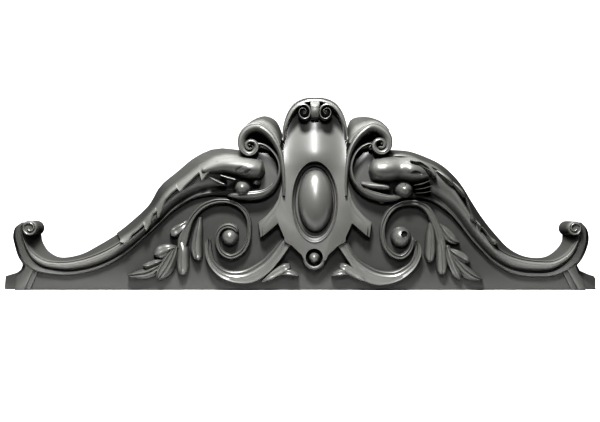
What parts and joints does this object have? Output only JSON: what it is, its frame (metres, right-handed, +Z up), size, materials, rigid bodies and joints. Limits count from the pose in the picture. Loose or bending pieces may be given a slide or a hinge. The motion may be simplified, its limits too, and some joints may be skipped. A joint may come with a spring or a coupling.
{
  "type": "scroll onlay",
  "caption": "Carved pediment crest: a fluted shield with an oval boss between serpent mouldings with leaf heads, C scrolls, spirals and leaf sprays on a flat field, with a flat back for fixing.",
  "frame": {"origin": "centre of the bounding box at the height of the flat underside", "axes": "+X runs along the crest to the viewer's right, -Y is the carved front, +Y is the flat back, +Z is up"},
  "size_m": [0.895, 0.0778, 0.2873],
  "materials": {
    "satin_grey": "carved hardwood under a satin graphite-grey lacquer"
  },
  "bodies": {
    "root": {"scroll_onlay": "satin_grey"}
  },
  "joints": []
}
